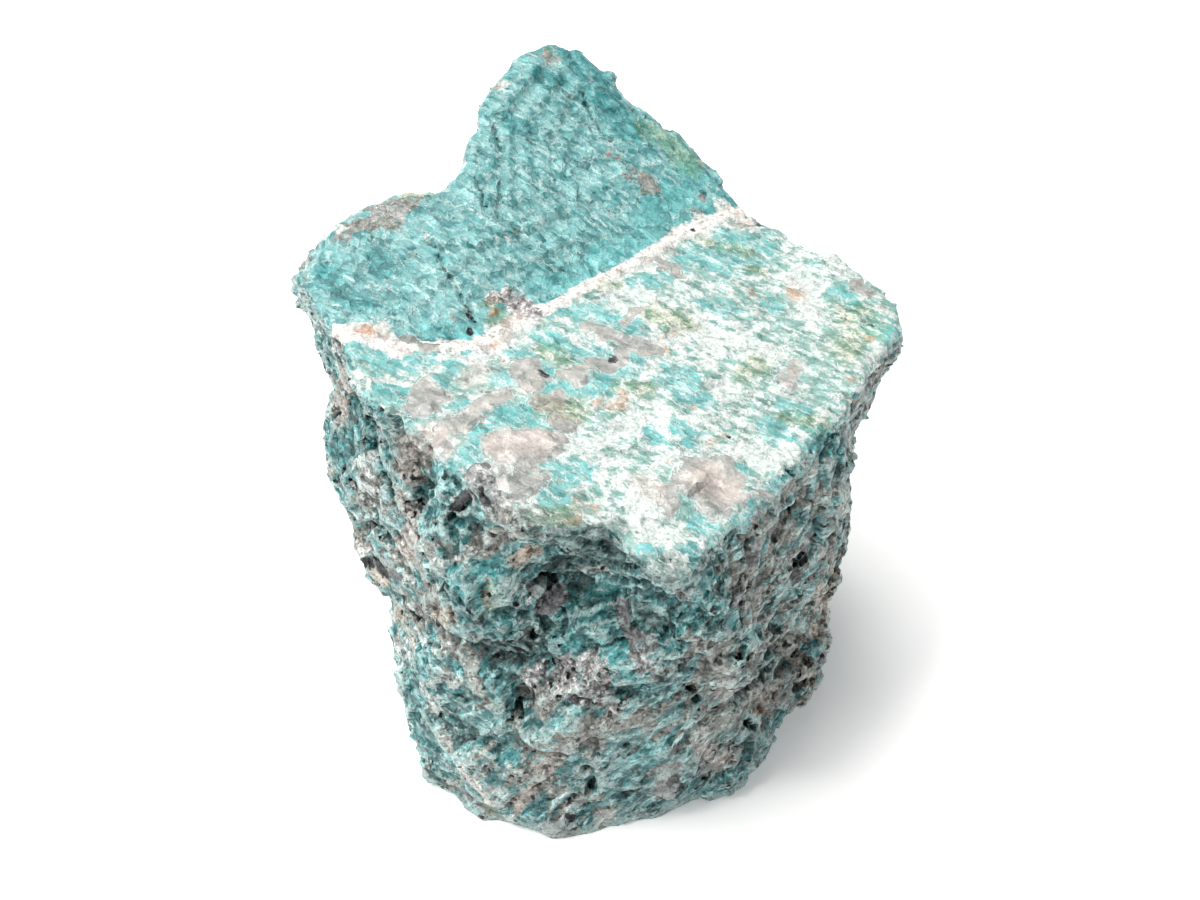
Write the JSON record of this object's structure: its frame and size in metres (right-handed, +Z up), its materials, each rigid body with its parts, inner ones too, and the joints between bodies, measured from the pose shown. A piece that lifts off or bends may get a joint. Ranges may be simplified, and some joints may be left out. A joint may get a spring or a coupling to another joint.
{
  "type": "rough amazonite stone",
  "caption": "Rough block of blue-green feldspar with a flat mottled top shelf, a raised lobe behind it and broken sides, standing on a flat underside.",
  "frame": {"origin": "on the surface that the stone stands on, under the middle of its bounding box", "axes": "+Z up, +Y from the front of the flat shelf towards the raised lobe, +X to the right as the stone is seen from the front"},
  "size_m": [0.1128, 0.1188, 0.1029],
  "materials": {
    "amazonite": "rough broken crystal: blue-green feldspar mottled with white albite and grey quartz, with a dull glint on the cleavage faces"
  },
  "bodies": {
    "root": {"amazonite_block": "amazonite"}
  },
  "joints": []
}
